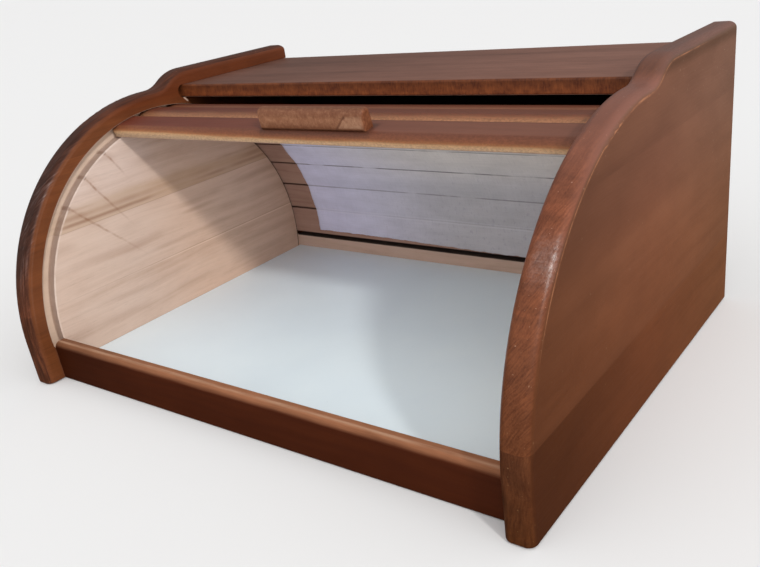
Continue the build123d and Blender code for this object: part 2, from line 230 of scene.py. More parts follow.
def toned(S, f, dark, mid, light, contrast):
    """Wood colour from grain fields f; contrast 1 spans the three tones fully."""
    t = S.add(S.add(S.mul(f["streak"], 0.36), S.mul(f["broad"], 0.36)), S.mul(f["cloud"], 0.28))
    t = S.remap(t, 0.5 - 0.2 / contrast, 0.5 + 0.2 / contrast, 0.0, 1.0)
    c = S.ramp(t, [(0.0, dark), (0.5, mid), (1.0, light)])
    c = S.scale_col(c, S.remap(f["fine"], 0.25, 0.75, 0.965, 1.03))
    return S.scale_col(c, S.remap(f["pore"], 0.0, 1.0, 1.0, 0.90))


def grain_height(S, f):
    return S.sub(S.add(S.mul(f["fine"], 0.5), S.mul(f["streak"], 0.5)), S.mul(f["pore"], 0.6))


def steps(S, v, top, pairs):
    """Scalar that jumps at the given values of v, for glued strips."""
    return S.split(S.ramp(S.mul(v, 1 / top), [(p / top, (q, 0, 0, 1)) for p, q in pairs], "CONSTANT"))[0]


NAT_D, NAT_M, NAT_L = srgb(188, 158, 139), srgb(209, 183, 166), srgb(218, 195, 180)
ST_D, ST_M, ST_L = srgb(100, 58, 37), srgb(119, 71, 47), srgb(132, 82, 57)


def side_material(name, seed, left):
    S = Shader(name, rough=0.42, spec=0.15 if left else 0.18, coat_rough=0.30)
    S.bsdf.inputs["Coat IOR"].default_value = 1.5 if left else 1.85
    r, th = polar(S)
    ax = S.m("ABSOLUTE", S.x)
    depth = S.sub(ax, X_IN)                      # 0 on the inner face, 16 on the outer one
    low_seam = 50.2 if left else 48.4
    # edge-glued strips, each with its own grain
    sid = steps(S, S.z, 200.0, [(0.0, 0.10), (low_seam, 0.55), (96.6, 0.30), (143.0, 0.80)])
    f = grain(S, S.y, S.mad(sid, 211.0, S.z), S.mad(sid, 57.0, S.x), seed)
    tone = steps(S, S.z, 200.0, [(0.0, 0.86 if left else 0.80), (low_seam, 1.0), (96.6, 1.05), (143.0, 0.99)])

    # stained long grain, a little greyer towards the top: painted sky reflection
    c_st = toned(S, f, ST_D, ST_M, ST_L, 0.42)
    c_st = S.mix(S.mul(S.smooth(S.z, 70.0, 165.0), 0.75), c_st, S.scale_col(srgb(119, 80, 64)[:3], S.remap(f["cloud"], 0.3, 0.7, 0.92, 1.08)))
    blot = S.noise(S.vec(S.mul(S.x, 1 / 30), S.mul(S.y, 1 / 60), S.mul(S.z, 1 / 34)), 1, 3)
    c_st = S.scale_col(c_st, S.remap(blot, 0.3, 0.7, 0.92, 1.08))
    c_st = S.scale_col(c_st, tone)
    dust = S.smooth(S.noise(S.p, 0.42, 1), 0.76, 0.80)
    c_st = S.mix(S.mul(dust, 0.28), c_st, srgb(176, 140, 118))

    # end grain on the front of the rim: broken lines, one direction per strip
    slant = steps(S, S.z, 200.0, [(0.0, 0.03), (low_seam, 0.85), (96.6, 0.55), (143.0, 0.30)])
    wob = S.noise(S.vec(S.mul(S.x, 1 / 16), S.mul(S.y, 1 / 40), S.mul(S.z, 1 / 16)), 1, 3)
    q = S.add(S.sub(S.x, S.mul(S.z, slant)), S.mul(wob, 8.0))
    along = S.add(S.z, S.mul(S.x, slant))
    lines = S.noise(S.vec(S.mul(q, 1 / 1.0), S.mul(along, 1 / 11), S.mul(S.y, 1 / 40)), 1, 2, 0.55)
    speck = S.noise(S.vec(S.mul(S.x, 1 / 0.7), S.mul(S.y, 1 / 2.0), S.mul(S.z, 1 / 0.9)), 1, 2, 0.6)
    patch = S.noise(S.vec(S.mul(S.x, 1 / 18), S.mul(S.y, 1 / 18), S.mul(S.z, 1 / 13)), 1, 4, 0.6)
    endw = S.mul(S.smooth(S.m("ABSOLUTE", S.ny), 0.12, 0.7), S.smooth(r, 133.0, 137.0))
    c_end = S.mix(S.remap(S.add(S.mul(lines, 0.62), S.mul(speck, 0.38)), 0.34, 0.66, 0, 1), srgb(92, 52, 33), srgb(132, 83, 56))
    c_end = S.scale_col(c_end, S.remap(patch, 0.34, 0.66, 0.76, 1.12))
    if not left:
        bands = S.noise(S.vec(S.mul(S.x, 1 / 15), S.mul(S.y, 1 / 5.0), S.mul(S.z, 1 / 2.6)), 1, 3, 0.55)
        c_end = S.mix(S.mul(S.band(S.z, 60.0, 112.0, 8.0), 0.5), c_end, S.mix(1.0, c_end, (0.94, 0.88, 0.80, 1.0), "MULTIPLY"))
        c_end = S.scale_col(c_end, S.remap(S.mul(S.sub(bands, 0.5), S.band(S.z, 92.0, 158.0, 8.0)), -0.14, 0.14, 0.86, 1.13))
    c_end = S.scale_col(c_end, tone)
    c_end = S.scale_col(c_end, S.remap(S.z, low_seam - 0.2, low_seam + 0.2, 0.86, 1.0))
    c_st = S.mix(S.mul(endw, 0.85), c_st, c_end)
    # pale flecks over the rim: pale specks in the wood, and painted glints of the varnish
    fleck = S.mul(S.smooth(S.noise(S.p, 0.75, 1), 0.74, 0.79), S.smooth(r, 134.0, 137.0))
    c_st = S.mix(S.mul(fleck, 0.45), c_st, srgb(190, 158, 136))
    # how far the surface has turned over from the inner face to the crown
    nr = S.m("DIVIDE", S.add(S.mul(S.sub(S.y, AXIS_Y), S.ny), S.mul(S.sub(S.z, AXIS_Z), S.nz)), S.m("MAXIMUM", r, 1.0))
    crown = S.smooth(nr, 0.12, 0.55)
    if left:
        # this rim is darker over its crown, and less so on the outer half of the round-over: partly darker stain,
        # partly painted shade on the side turned away from the light
        outer = S.smooth(S.nx, 0.05, -0.35)
        stain_and_shade = S.add(S.mul(crown, S.inv(outer)), S.mul(S.smooth(nr, 0.42, 0.90), outer))
        c_st = S.mix(stain_and_shade, c_st, S.mix(1.0, c_st, S.ramp(S.mul(S.z, 1 / 180.0), [
            (0.0, (0.87, 0.73, 0.65, 1)), (0.65, (0.42, 0.34, 0.34, 1)), (0.95, (0.46, 0.35, 0.30, 1))]), "MULTIPLY"))
        c_st = S.scale_col(c_st, 0.80)
        hair = S.noise(S.vec(S.mul(th, 1 / 9.0), S.mul(S.add(S.x, S.mul(th, 0.05)), 1 / 1.1), S.mul(r, 1 / 1.6)), 1, 3, 0.6)
        hatch = S.noise(S.vec(S.mul(S.sub(S.z, S.mul(S.x, 1.6)), 1 / 1.9), S.mul(S.add(S.z, S.x), 1 / 14.0), S.mul(S.y, 1 / 30)), 1, 3, 0.6)
        mixed = S.mix(S.smooth(th, 22.0, 30.0), hair, hatch)
        mixed = S.split(mixed)[0]
        shine = S.mul(S.mul(S.smooth(mixed, 0.52, 0.66), S.smooth(nr, 0.12, 0.4)), S.band(th, 12.0, 52.0, 10.0))
        # painted shade: darker again over the top of the crown
        c_st = S.scale_col(c_st, S.remap(S.mul(S.smooth(nr, 0.55, 0.92), S.band(th, 17.0, 68.0, 9.0)), 0.0, 1.0, 1.0, 0.62))
        c_st = S.scale_col(c_st, S.remap(S.mul(S.sub(mixed, 0.5), S.smooth(nr, 0.2, 0.5)), -0.16, 0.16, 0.64, 1.42))
        # a paler line where the round-over meets the flat band: painted highlight, and thinner stain there too
        pale = S.mul(S.band(nr, 0.10, 0.26, 0.09), S.band(th, 4.0, 58.0, 10.0))
        c_st = S.mix(S.mul(pale, 0.30), c_st, srgb(150, 108, 84))
        c_st = S.scale_col(c_st, S.remap(hair, 0.3, 0.7, 0.86, 1.14))
    else:
        # painted shade and light over the stained wood: darker at the front foot and low on the rim, lighter and greyer
        # towards the top and the back; the lower glued strip is stained darker
        face = S.mul(S.smooth(S.m("ABSOLUTE", S.nx), 0.80, 0.97), S.smooth(depth, 14.0, 15.5))
        painted_light_y = S.ramp(S.mad(S.y, 1 / 290.0, 0.5), [(0.0, (0.58, 0.51, 0.36, 1)), (0.5, (1.03, 1.01, 0.93, 1)), (1.0, (1.0, 1.16, 1.20, 1))])
        painted_light_z = S.ramp(S.mul(S.z, 1 / 180.0), [(0.0, (0.64, 0.49, 0.20, 1)), (0.5, (0.88, 0.76, 0.66, 1)), (0.85, (1.10, 0.93, 0.93, 1))])
        c_st = S.mix(1.0, c_st, S.mix(face, painted_light_z, painted_light_y), "MULTIPLY")
        low = S.ramp(S.mul(S.z, 1 / 180.0), [(0.0, (0.76, 0.66, 0.52, 1)), (0.262, (0.80, 0.72, 0.60, 1)), (0.276, (0.92, 0.90, 0.84, 1)), (0.45, (1.05, 1.03, 0.98, 1))])
        c_st = S.mix(face, c_st, S.mix(1.0, c_st, low, "MULTIPLY"))
        strip = S.ramp(S.mad(S.y, 1 / 290.0, 0.5), [(0.12, (0.94, 0.90, 0.75, 1)), (0.40, (1.20, 1.18, 1.12, 1)), (0.90, (1.44, 1.47, 1.42, 1))])
        c_st = S.mix(S.mul(face, S.smooth(S.z, 48.6, 48.2)), c_st, S.mix(1.0, c_st, strip, "MULTIPLY"))
        c_st = S.mix(S.mul(S.mul(face, S.band(S.z, 110.0, 150.0, 7.0)), S.smooth(S.y, 60.0, 15.0)), c_st, S.mix(1.0, c_st, (0.87, 0.85, 0.86, 1.0), "MULTIPLY"))
        c_st = S.mix(S.mul(face, S.smooth(S.z, 55.0, 95.0)), c_st, S.mix(1.0, c_st, (0.97, 1.01, 1.08, 1.0), "MULTIPLY"))
        c_st = S.mix(S.mul(S.smooth(S.z, 172.0, 178.0), 1.0), c_st, S.mix(1.0, c_st, (0.69, 0.70, 0.66, 1.0), "MULTIPLY"))

    # worn line along the outer edge of the round-over
    wear_n = S.noise(S.p, 0.09, 4, 0.65)
    line = S.mul(S.band(S.m("ABSOLUTE", S.nx), 0.968, 0.988, 0.010), S.smooth(depth, 14.6, 15.3))
    line = S.mul(line, S.mul(S.smooth(th, 22.0, 34.0) if not left else S.smooth(th, 34.0, 52.0), S.smooth(S.y, 120.0, 60.0)))
    c_st = S.mix(S.mul(S.mul(line, S.remap(wear_n, 0.38, 0.6, 0.05, 0.55)), 1.0), c_st, srgb(190, 128, 90))
    # flat band between the round-over and the groove
    inner_band = S.mul(S.smooth(depth, 1.3, 0.2), S.smooth(r, 130.8, 131.6))
    c_band = S.scale_col((srgb(113, 62, 31) if left else srgb(148, 88, 50))[:3], S.remap(S.add(S.add(f["streak"], f["cloud"]), S.mul(f["fine"], 0.6)), 0.95, 1.65, 0.70, 1.24))
    c_band = S.scale_col(c_band, S.remap(tone, 0.7, 1.05, 0.82, 1.02))
    if left:
        c_band = S.mix(S.smooth(S.z, 156.0, 170.0), c_band, S.mix(1.0, c_band, (0.72, 0.51, 0.28, 1.0), "MULTIPLY"))
    c_st = S.mix(S.mul(inner_band, 0.85), c_st, c_band)

    # bare wood inside the track circle
    c_nat = toned(S, f, NAT_D, NAT_M, NAT_L, 0.9)
    wave = S.add(S.z, S.mul(S.sub(S.noise(S.vec(S.mul(S.y, 1 / 70), S.mul(S.z, 1 / 20), seed), 1, 3), 0.5), 16.0))
    olive = S.mul(S.mul(S.smooth(S.z, 96.5, 96.9), S.smooth(wave, 116.0, 104.0)), S.remap(f["streak"], 0.3, 0.62, 0.35, 1.0))
    c_nat = S.mix(S.mul(olive, 0.55), c_nat, srgb(176, 142, 108))
    below = S.mul(S.smooth(S.z, 96.9, 96.5), S.smooth(S.z, 66.0, 92.0))
    c_nat = S.mix(S.mul(below, 0.25), c_nat, srgb(222, 198, 182))
    drift = S.mad(S.noise(S.vec(S.mul(S.y, 1 / 55), S.mul(S.z, 1 / 60), seed + 4.0), 1, 2), 9.0, -4.5)
    for zc, half_w, amount in ((100.2, 1.0, 0.34), (104.6, 1.5, 0.22), (109.5, 0.8, 0.16), (86.0, 2.6, 0.15), (79.0, 1.4, 0.17), (70.5, 3.0, 0.13), (60.5, 1.6, 0.13), (36.0, 2.2, 0.12), (22.0, 2.8, 0.12), (128.0, 2.4, 0.13), (137.0, 1.4, 0.12)):
        bandz = S.add(S.z, S.mul(drift, 0.25 if 97.0 < zc < 112.0 else 1.0))
        fade = S.smooth(S.noise(S.vec(S.mul(S.y, 1 / 60), zc, seed), 1, 2), 0.36, 0.62)
        c_nat = S.mix(S.mul(S.mul(S.band(bandz, zc - half_w, zc + half_w, half_w), fade), amount * 1.95), c_nat, srgb(146, 108, 86))
    seam = S.band(S.z, 96.35, 96.85, 0.18)
    c_nat = S.mix(S.mul(seam, 0.40), c_nat, srgb(150, 118, 96))
    light_seam = S.band(S.z, low_seam - 1.0, low_seam, 0.25)
    c_nat = S.mix(S.mul(S.mul(light_seam, S.smooth(S.y, -70.0, 10.0)), 0.40), c_nat, srgb(236, 216, 196))
    under = S.band(S.z, low_seam, low_seam + 0.6, 0.2)
    c_nat = S.mix(S.mul(under, S.remap(S.y, -90.0, 10.0, 0.10, 0.34)), c_nat, srgb(140, 104, 86))
    edge_n = S.noise(S.vec(S.mul(th, 1 / 3.5), 0.7, seed), 1, 3)
    if left:
        for deg, turn, length in ((64.7, -9.0, 30.0), (53.6, 2.4, 60.0), (42.1, 2.6, 84.0)):
            a = math.radians(deg)
            py, pz = AXIS_Y - R_TRACK_IN * math.cos(a), AXIS_Z + R_TRACK_IN * math.sin(a)
            d = math.radians(deg + turn)
            dy, dz = math.cos(d), -math.sin(d)
            ey, ez = S.sub(S.y, py), S.sub(S.z, pz)
            run = S.add(S.mul(ey, dy), S.mul(ez, dz))
            sway = S.mad(S.noise(S.vec(S.mul(run, 1 / 14), deg, 1.0), 1, 2), 2.4, -1.2)
            off = S.m("ABSOLUTE", S.add(S.add(S.mul(ey, -dz), S.mul(ez, dy)), sway))
            gaps = S.remap(S.noise(S.vec(S.mul(run, 1 / 5), deg, 0.0), 1, 3), 0.35, 0.6, 0.25, 1.0)
            mark = S.mul(S.smooth(off, 1.3, 0.2), S.mul(S.smooth(run, -1.0, 1.0), S.smooth(run, length, length * 0.1)))
            c_nat = S.mix(S.mul(S.mul(mark, gaps), 0.62), c_nat, srgb(140, 96, 68))
            haze = S.mul(S.smooth(off, 5.0, 1.0), S.mul(S.smooth(run, -1.0, 2.0), S.smooth(run, length * 0.6, length * 0.1)))
            c_nat = S.mix(S.mul(haze, 0.10), c_nat, srgb(140, 100, 74))
            notch = S.mul(S.smooth(off, 2.2, 0.6), S.band(run, -0.8, 1.4, 0.7))
            c_nat = S.mix(S.mul(notch, 0.75), c_nat, srgb(112, 68, 44))
    # painted shade tint: warmer towards the back, where the shade of the tambour falls
    c_nat = S.mix(S.smooth(S.y, -60.0, 20.0), c_nat, S.mix(1.0, c_nat, (1.09, 1.02, 0.95, 1.0), "MULTIPLY"))
    # painted light: lighter and bluer at the front top of the inner face
    c_nat = S.mix(S.mul(S.smooth(S.z, 88.0, 126.0), S.smooth(S.y, 0.0, -36.0)), c_nat, S.mix(1.0, c_nat, (1.06, 1.10, 1.16, 1.0), "MULTIPLY"))
    # groove: pale floor, darker walls and a pale line along the inner edge
    c_nat = S.mix(S.mul(S.smooth(depth, 6.0, 6.8), 0.55), c_nat, srgb(226, 202, 178))
    wall_in = S.mul(S.smooth(r, 123.4, 123.0), S.smooth(depth, 0.1, 0.5))
    c_nat = S.mix(S.mul(wall_in, S.remap(depth, 0.5, 7.0, 0.80, 0.45)), c_nat, S.mix(edge_n, srgb(140, 116, 104), srgb(180, 156, 142)))
    wall_out = S.mul(S.smooth(r, 130.8, 131.2), S.smooth(depth, 0.1, 0.5))
    c_nat = S.mix(S.mul(wall_out, 0.6), c_nat, srgb(170, 128, 96))
    rim_in = S.mul(S.band(r, 121.6, 123.0, 0.35), S.smooth(depth, 0.3, 0.1))
    c_nat = S.mix(S.mul(S.mul(rim_in, S.smooth(th, 76.0, 70.0)), S.remap(edge_n, 0.3, 0.6, 0.10, 0.55)), c_nat, srgb(236, 219, 207))
    # darker along the groove's inner edge where the tambour rests
    rub = S.mul(S.band(r, 122.2, 123.2, 0.2), S.smooth(th, 76.0, 82.0))
    c_nat = S.mix(S.mul(rub, 0.8), c_nat, srgb(74, 46, 36))

    if left:
        # light chip under the shelf's housing
        cy, cz = S.sub(S.y, AXIS_Y + 30.4), S.sub(S.z, 161.2)
        run, off = S.mul(S.sub(cy, cz), 0.707), S.m("ABSOLUTE", S.mul(S.add(cy, cz), 0.707))
        chip = S.mul(S.smooth(off, 0.9, 0.4), S.band(run, -2.6, 2.2, 0.5))
        c_st = S.mix(S.mul(S.mul(chip, S.smooth(depth, 1.0, 0.3)), 0.8), c_st, srgb(226, 196, 176))
    limit = S.remap(S.z, 27.0, 28.6, 128.9, 131.4)
    inside = S.mul(S.smooth(S.sub(r, limit), 0.3, -0.3), S.smooth(depth, 8.4, 7.6))
    color = S.mix(inside, c_st, c_nat)
    gloss = S.remap(S.add(S.mul(lines, 0.5), S.mul(speck, 0.5)), 0.3, 0.7, 0.28, 0.46) if not left else S.remap(f["fine"], 0.2, 0.8, 0.36, 0.50)
    gloss = S.add(S.mul(crown, gloss), S.mul(S.inv(crown), S.remap(f["fine"], 0.2, 0.8, 0.40, 0.52)))
    rough = S.add(S.mul(inside, 0.72), S.mul(S.inv(inside), gloss))
    # the varnish lies thicker in places on the crown
    if left:
        varnish = S.add(S.mul(shine, 0.85), S.mul(pale, 0.5))
    else:
        ripple = S.noise(S.vec(S.mul(S.x, 1 / 5.0), S.mul(S.y, 1 / 2.4), S.mul(S.z, 1 / 1.2)), 1, 3, 0.6)
        spot = S.mul(S.band(th, 38.0, 44.0, 4.0), S.remap(S.add(S.mul(ripple, 0.6), S.mul(speck, 0.4)), 0.40, 0.58, 0.30, 1.0))
        spot = S.mul(spot, S.smooth(depth, 2.0, 7.5))
        varnish = S.mul(crown, S.add(spot, S.mul(S.smooth(th, 50.0, 70.0), 0.26)))
    S.put(S.bsdf.inputs["Coat Weight"], varnish)
    height = S.add(grain_height(S, f), S.mul(S.mul(S.add(S.add(lines, speck), S.mul(patch, 0.8)), endw), 2.0))
    dent = S.new("ShaderNodeBump")
    dent.inputs["Strength"].default_value = 0.5
    dent.inputs["Distance"].default_value = 0.00020
    S.put(dent.inputs["Height"], height)
    S.nt.links.new(dent.outputs[0], S.bsdf.inputs["Coat Normal"])
    return S.finish(color, rough, height, 0.16, 0.00010)


def slat_material(name, seed, lead):
    S = Shader(name, rough=0.42, spec=0.3)
    r, th = polar(S)
    if lead:
        local = S.sub(th, LEAD_EDGE + LEAD_PITCH / 2)
        half = 12.19
    else:
        half = 11.73
        k = S.mul(S.sub(th, LEAD_EDGE + LEAD_PITCH), 1 / PITCH)
        idx = S.m("FLOOR", k)
        local = S.mul(S.sub(S.sub(k, idx), 0.5), PITCH)
    rad = S.mul(local, math.pi / 180)
    v = S.sub(S.mul(r, S.m("COSINE", rad)), SLAT_R_IN)       # height over the inner face
    u = S.mul(r, S.m("SINE", rad))                            # along the track, negative towards the lead edge
    f = grain(S, S.x, u if lead else S.add(u, S.mul(idx, 61.0)), v, seed)
    # darker and redder to the left, lighter to the right: partly the stain's tone, partly painted light from the right
    tone_and_light_right = S.smooth(S.x, -150.0, 130.0)
    c_flat = toned(S, f, srgb(86, 39, 26), srgb(101, 48, 33), srgb(114, 58, 42), 0.8)
    c_right = toned(S, f, srgb(100, 62, 48), srgb(117, 73, 57), srgb(130, 84, 66), 0.7)
    c_flat = S.mix(tone_and_light_right, c_flat, c_right)
    if not lead:
        tone = S.noise(S.vec(S.mul(idx, 3.7), seed, 0.3), 1, 0)
        c_flat = S.mix(0.55, c_flat, srgb(98, 50, 33))
        c_flat = S.scale_col(c_flat, S.remap(tone, 0.3, 0.7, 0.92, 1.08))
    # crowned edges: the stain thins from red-brown over orange to bare wood
    wear = S.noise(S.vec(S.mul(S.x, 1 / 30), S.mul(u, 1 / 4), S.mul(v, 1 / 4)), 1, 4, 0.6)
    grit = S.noise(S.vec(S.mul(S.x, 1 / 1.6), S.mul(u, 1 / 1.0), S.mul(v, 1 / 1.0)), 1, 3, 0.6)
    vv = S.add(v, S.add(S.mul(S.sub(wear, 0.5), 1.5), S.mul(S.sub(grit, 0.5), 1.0 if lead else 3.0)))
    if lead:
        vv = S.sub(vv, S.mul(S.smooth(S.x, -20.0, -170.0), 1.7))
        tones = [
            (0.0, srgb(176, 146, 118)), (0.16, srgb(190, 156, 122)), (0.33, srgb(190, 148, 108)), (0.47, srgb(152, 98, 62)),
            (0.62, srgb(124, 72, 46)), (0.82, srgb(112, 64, 44)), (1.0, srgb(106, 62, 46))]
    else:
        tones = [
            (0.0, srgb(176, 142, 116)), (0.30, srgb(172, 130, 98)), (0.55, srgb(162, 114, 82)), (0.76, srgb(142, 94, 66)),
            (0.90, srgb(110, 62, 42)), (1.0, srgb(98, 52, 36))]
    c_edge = S.ramp(S.mul(vv, 1 / 8.0), tones)
    c_edge = S.scale_col(c_edge, S.remap(f["fine"], 0.25, 0.75, 0.94, 1.05))
    c_edge = S.scale_col(c_edge, S.remap(tone_and_light_right, 0, 1, 0.92 if lead else 0.84, 0.92 if lead else 1.0))
    c_edge = S.scale_col(c_edge, S.remap(grit, 0.38, 0.62, 0.84 if lead else 0.72, 1.16 if lead else 1.28))
    if not lead:
        # edges of the third slat onward are darker: painted shade where they pass under the shelf, and less worn than
        # the joint next to the lead slat
        c_edge = S.mix(S.mul(S.smooth(idx, 0.4, 0.6), 0.5), c_edge, srgb(84, 42, 28))
    color = S.mix(S.smooth(v, 7.78, 7.45), c_flat, c_edge)
    if lead:
        # painted shade round the pull, darker close around its foot
        near = S.mul(S.band(S.x, -37.5, 49.0, 2.0), S.band(u, -11.2, 2.0, 1.4))
        color = S.scale_col(color, S.remap(near, 0.0, 1.0, 1.0, 0.62))
    # bare inner face
    c_nat = toned(S, f, srgb(134, 98, 84), srgb(166, 130, 114), srgb(180, 146, 128), 0.9)
    color = S.mix(S.smooth(v, 0.55, 0.25), color, c_nat)
    # grime in the joints
    joint = S.smooth(u if lead else S.m("ABSOLUTE", u), half - 1.0, half - 0.35)
    color = S.mix(S.mul(S.mul(joint, S.smooth(v, 3.4, 2.2)), 0.85), color, srgb(56, 32, 25))
    gloss = S.remap(f["fine"], 0.2, 0.8, 0.38, 0.52)
    bare = S.smooth(vv, 5.0, 3.0)
    rough = S.add(S.mul(bare, 0.7), S.mul(S.inv(bare), gloss))
    return S.finish(color, rough, grain_height(S, f), 0.16, 0.00010)


def shelf_material():
    S = Shader("shelf_wood", rough=0.45, spec=0.2)
    f = grain(S, S.x, S.y, S.z, 4.2)
    c = toned(S, f, srgb(80, 52, 41), srgb(102, 69, 57), srgb(120, 84, 71), 0.95)
    # glued strips along X
    c = S.scale_col(c, steps(S, S.y, 150.0, [(0.0, 1.02), (62.0, 0.95), (104.0, 0.90)]))
    # painted light: lighter towards the right, nearer the light
    c = S.scale_col(c, S.remap(S.x, -130.0, 140.0, 1.0, 1.55))
    front = S.smooth(S.y, 29.0, 28.2)
    mott = S.noise(S.vec(S.mul(S.x, 1 / 7), S.mul(S.y, 1 / 3), S.mul(S.z, 1 / 5.0)), 1, 4, 0.6)
    fibre = S.noise(S.vec(S.mul(S.x, 1 / 0.9), S.mul(S.y, 1 / 3), S.mul(S.z, 1 / 4.5)), 1, 3, 0.6)
    c_front = S.mix(S.remap(S.add(S.mul(mott, 0.55), S.mul(fibre, 0.45)), 0.36, 0.64, 0, 1), srgb(84, 37, 17), srgb(146, 80, 41))
    c_front = S.scale_col(c_front, S.remap(S.add(S.z, S.mul(S.sub(mott, 0.5), 3.0)), 166.0, 170.0, 1.0, 0.66))
    c = S.mix(S.mul(front, 0.92), c, c_front)
    under = S.smooth(S.z, 163.6, 163.1)
    c = S.mix(S.mul(under, 0.9), c, toned(S, f, NAT_D, NAT_M, NAT_L, 0.7))
    return S.finish(c, S.remap(f["fine"], 0.2, 0.8, 0.40, 0.54), grain_height(S, f), 0.16, 0.00010)


def front_rail_material():
    S = Shader("front_rail_wood", rough=0.45, spec=0.06)
    f = grain(S, S.x, S.z, S.y, 7.7)
    c = toned(S, f, srgb(52, 20, 7), srgb(66, 27, 10), srgb(82, 37, 15), 0.6)
    wear = S.noise(S.vec(S.mul(S.x, 1 / 40), S.mul(S.y, 1 / 3), S.mul(S.z, 1 / 3)), 1, 4, 0.6)
    # stain rubbed thin over the rounded top
    top = S.smooth(S.add(S.z, S.mul(S.sub(wear, 0.5), 2.0)), 23.8, 27.4)
    c = S.mix(S.mul(top, 0.85), c, S.scale_col(srgb(158, 106, 76)[:3], S.remap(S.add(f["cloud"], S.mul(f["fine"], 0.6)), 0.5, 1.1, 0.74, 1.18)))
    # painted shade: darker towards the left end
    c = S.scale_col(c, S.remap(S.x, -179.0, -70.0, 0.66, 1.0))
    crest = S.mul(S.band(S.y, -129.6, -127.6, 0.8), S.smooth(S.z, 26.6, 27.2))
    c = S.mix(S.mul(crest, S.remap(wear, 0.35, 0.6, 0.1, 0.55)), c, srgb(198, 160, 132))
    back = S.smooth(S.y, -124.6, -123.7)
    c = S.mix(S.mul(back, 0.9), c, toned(S, f, NAT_D, NAT_M, NAT_L, 0.7))
    return S.finish(c, S.remap(f["fine"], 0.2, 0.8, 0.40, 0.54), grain_height(S, f), 0.16, 0.00010)


def bare_wood_material(name, seed, painted_shade_above=None):
    S = Shader(name, rough=0.7, spec=0.3)
    f = grain(S, S.x, S.z, S.y, seed)
    c = toned(S, f, srgb(170, 138, 120), srgb(200, 170, 152), srgb(212, 184, 168), 0.7)
    # painted shade: above the given height the board goes nearly black, as under the tambour
    if painted_shade_above is not None:
        c = S.scale_col(c, S.remap(S.z, painted_shade_above, painted_shade_above + 0.3, 1.0, 0.10))
    return S.finish(c, S.remap(f["fine"], 0.2, 0.8, 0.62, 0.80), grain_height(S, f), 0.2, 0.00010)


def handle_material():
    S = Shader("handle_wood", rough=0.5, spec=0.25)
    f = grain(S, S.x, S.y, S.z, 11.3)
    c = toned(S, f, srgb(104, 62, 43), srgb(132, 86, 60), srgb(150, 103, 76), 0.7)
    mott = S.noise(S.vec(S.mul(S.x, 1 / 2.0), S.mul(S.y, 1 / 1.2), S.mul(S.z, 1 / 2.6)), 1, 5, 0.7)
    c = S.mix(S.mul(S.smooth(mott, 0.46, 0.68), 0.34), c, srgb(180, 134, 102))
    c = S.mix(S.mul(S.smooth(mott, 0.46, 0.32), 0.45), c, srgb(98, 54, 36))
    # height over the slat: painted shade at the foot and along the top edge, painted highlight in the middle
    r, th = polar(S)
    v = S.sub(S.mul(r, S.m("COSINE", S.mul(S.sub(th, LEAD_EDGE + LEAD_PITCH / 2), math.pi / 180))), SLAT_R_IN + SLAT_T)
    c = S.mix(1.0, c, S.ramp(S.mul(v, 1 / 12.6), [
        (0.0, (0.50, 0.40, 0.32, 1)), (0.12, (0.66, 0.56, 0.48, 1)), (0.30, (0.98, 0.96, 0.94, 1)), (0.55, (1.12, 1.12, 1.12, 1)),
        (0.80, (0.88, 0.83, 0.83, 1)), (1.0, (0.72, 0.67, 0.67, 1))]), "MULTIPLY")
    # a chip off the right-hand end, paler below its slanting edge
    e = S.add(S.sub(S.x, S.mad(v, 1.0, 25.0)), S.mul(S.sub(mott, 0.5), 3.0))
    chip = S.mul(S.smooth(e, -0.4, 1.0), S.mul(S.smooth(v, 9.6, 7.6), S.smooth(v, 1.2, 2.4)))
    c = S.mix(S.mul(S.mul(S.mul(chip, S.smooth(S.x, 45.5, 43.5)), S.remap(mott, 0.35, 0.6, 0.5, 1.0)), 0.42), c, srgb(190, 148, 118))
    c = S.mix(S.mul(S.mul(S.band(e, -1.4, -0.3, 0.6), S.smooth(v, 11.0, 8.0)), 0.6), c, srgb(80, 42, 28))
    ends = S.smooth(S.m("ABSOLUTE", S.nx), 0.5, 0.9)
    c = S.mix(S.mul(ends, 0.7), c, S.mix(S.remap(mott, 0.35, 0.65, 0, 1), srgb(90, 44, 24), srgb(136, 80, 50)))
    return S.finish(c, S.remap(f["fine"], 0.2, 0.8, 0.42, 0.58), S.add(grain_height(S, f), mott), 0.25, 0.00012)


def floor_material():
    S = Shader("white_laminate", rough=0.34, spec=0.4)
    cloud = S.noise(S.vec(S.mul(S.x, 1 / 90), S.mul(S.y, 1 / 90), 0.0), 1, 4)
    c = S.mix(S.remap(cloud, 0.3, 0.7, 0, 1), srgb(229, 243, 250), srgb(236, 249, 254))
    # painted light: lighter towards the right, over the shade of the right panel
    c = S.scale_col(c, S.remap(S.x, -20.0, 150.0, 0.985, 1.08))
    dust = S.smooth(S.noise(S.vec(S.mul(S.x, 1 / 1.6), S.mul(S.y, 1 / 1.6), 2.0), 1, 1), 0.77, 0.82)
    c = S.mix(S.mul(dust, 0.25), c, srgb(150, 148, 146))
    scratch = S.smooth(S.noise(S.vec(S.mul(S.x, 1 / 60), S.mul(S.y, 1 / 0.8), 3.0), 1, 2), 0.66, 0.74)
    rough = S.add(S.remap(cloud, 0.3, 0.7, 0.30, 0.40), S.mul(scratch, 0.06))
    side = S.smooth(S.z, 8.5, 8.2)
    c = S.mix(side, c, srgb(134, 100, 72))
    peel = S.noise(S.vec(S.mul(S.x, 1 / 3), S.mul(S.y, 1 / 3), 0.0), 1, 2)
    return S.finish(c, rough, peel, 0.06, 0.0001)


